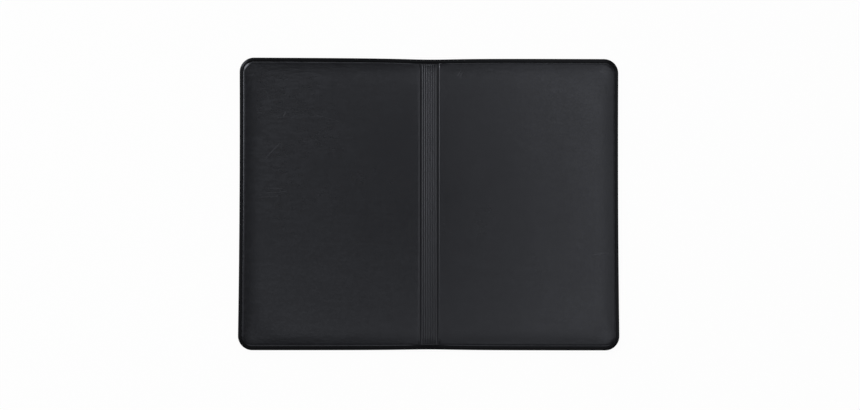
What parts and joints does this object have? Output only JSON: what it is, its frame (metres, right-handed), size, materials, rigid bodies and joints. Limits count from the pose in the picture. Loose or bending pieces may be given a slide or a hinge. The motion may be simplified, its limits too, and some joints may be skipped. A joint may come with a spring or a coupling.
{
  "type": "card_sleeve",
  "caption": "Folding black PVC card sleeve, open with its outer faces up: grained covers with welded beaded edges, a ribbed spine that rolls shut, foil shields and clear card pockets.",
  "frame": {"origin": "on the table, under the middle of the spine", "axes": "+X across both covers, +Y along the spine, +Z out of the outer faces"},
  "size_m": [0.1236, 0.095, 0.0021],
  "materials": {
    "cover_pvc": "black, satin, with a fine leather-like grain",
    "edge_pvc": "black, smooth where the weld pressed it",
    "lining_pvc": "black, smooth, matt",
    "pocket_pvc": "clear, glossy",
    "shield_foil": "plain foil"
  },
  "bodies": {
    "left_leaf": {"left_cover": "cover_pvc", "left_shield": "shield_foil", "left_lining": "lining_pvc", "left_pocket": "pocket_pvc", "left_welded_edge": "edge_pvc"},
    "spine_link_1": {"spine_rib_1": "cover_pvc"},
    "spine_link_2": {"spine_rib_2": "cover_pvc"},
    "spine_link_3": {"spine_rib_3": "cover_pvc"},
    "spine_link_4": {"spine_rib_4": "cover_pvc"},
    "spine_link_5": {"spine_rib_5": "cover_pvc"},
    "spine_link_6": {"spine_rib_6": "cover_pvc"},
    "spine_link_7": {"spine_rib_7": "cover_pvc"},
    "right_leaf": {"right_cover": "cover_pvc", "right_shield": "shield_foil", "right_lining": "lining_pvc", "right_pocket": "pocket_pvc", "right_welded_edge": "edge_pvc"}
  },
  "joints": [
    {"name": "fold_1", "type": "hinge", "parent": "left_leaf", "child": "spine_link_1", "pos_m": [-0.00276, 0, 0.00178], "axis": [0, 1, 0], "range_deg": [-22.5, 22.5]},
    {"name": "fold_2", "type": "hinge", "parent": "spine_link_1", "child": "spine_link_2", "pos_m": [-0.00181, 0, 0.00178], "axis": [0, 1, 0], "range_deg": [-22.5, 22.5]},
    {"name": "fold_3", "type": "hinge", "parent": "spine_link_2", "child": "spine_link_3", "pos_m": [-0.00108, 0, 0.00178], "axis": [0, 1, 0], "range_deg": [-22.5, 22.5]},
    {"name": "fold_4", "type": "hinge", "parent": "spine_link_3", "child": "spine_link_4", "pos_m": [-0.00036, 0, 0.00178], "axis": [0, 1, 0], "range_deg": [-22.5, 22.5]},
    {"name": "fold_5", "type": "hinge", "parent": "spine_link_4", "child": "spine_link_5", "pos_m": [0.00036, 0, 0.00178], "axis": [0, 1, 0], "range_deg": [-22.5, 22.5]},
    {"name": "fold_6", "type": "hinge", "parent": "spine_link_5", "child": "spine_link_6", "pos_m": [0.00108, 0, 0.00178], "axis": [0, 1, 0], "range_deg": [-22.5, 22.5]},
    {"name": "fold_7", "type": "hinge", "parent": "spine_link_6", "child": "spine_link_7", "pos_m": [0.00181, 0, 0.00178], "axis": [0, 1, 0], "range_deg": [-22.5, 22.5]},
    {"name": "fold_8", "type": "hinge", "parent": "spine_link_7", "child": "right_leaf", "pos_m": [0.00276, 0, 0.00178], "axis": [0, 1, 0], "range_deg": [-22.5, 22.5]}
  ]
}
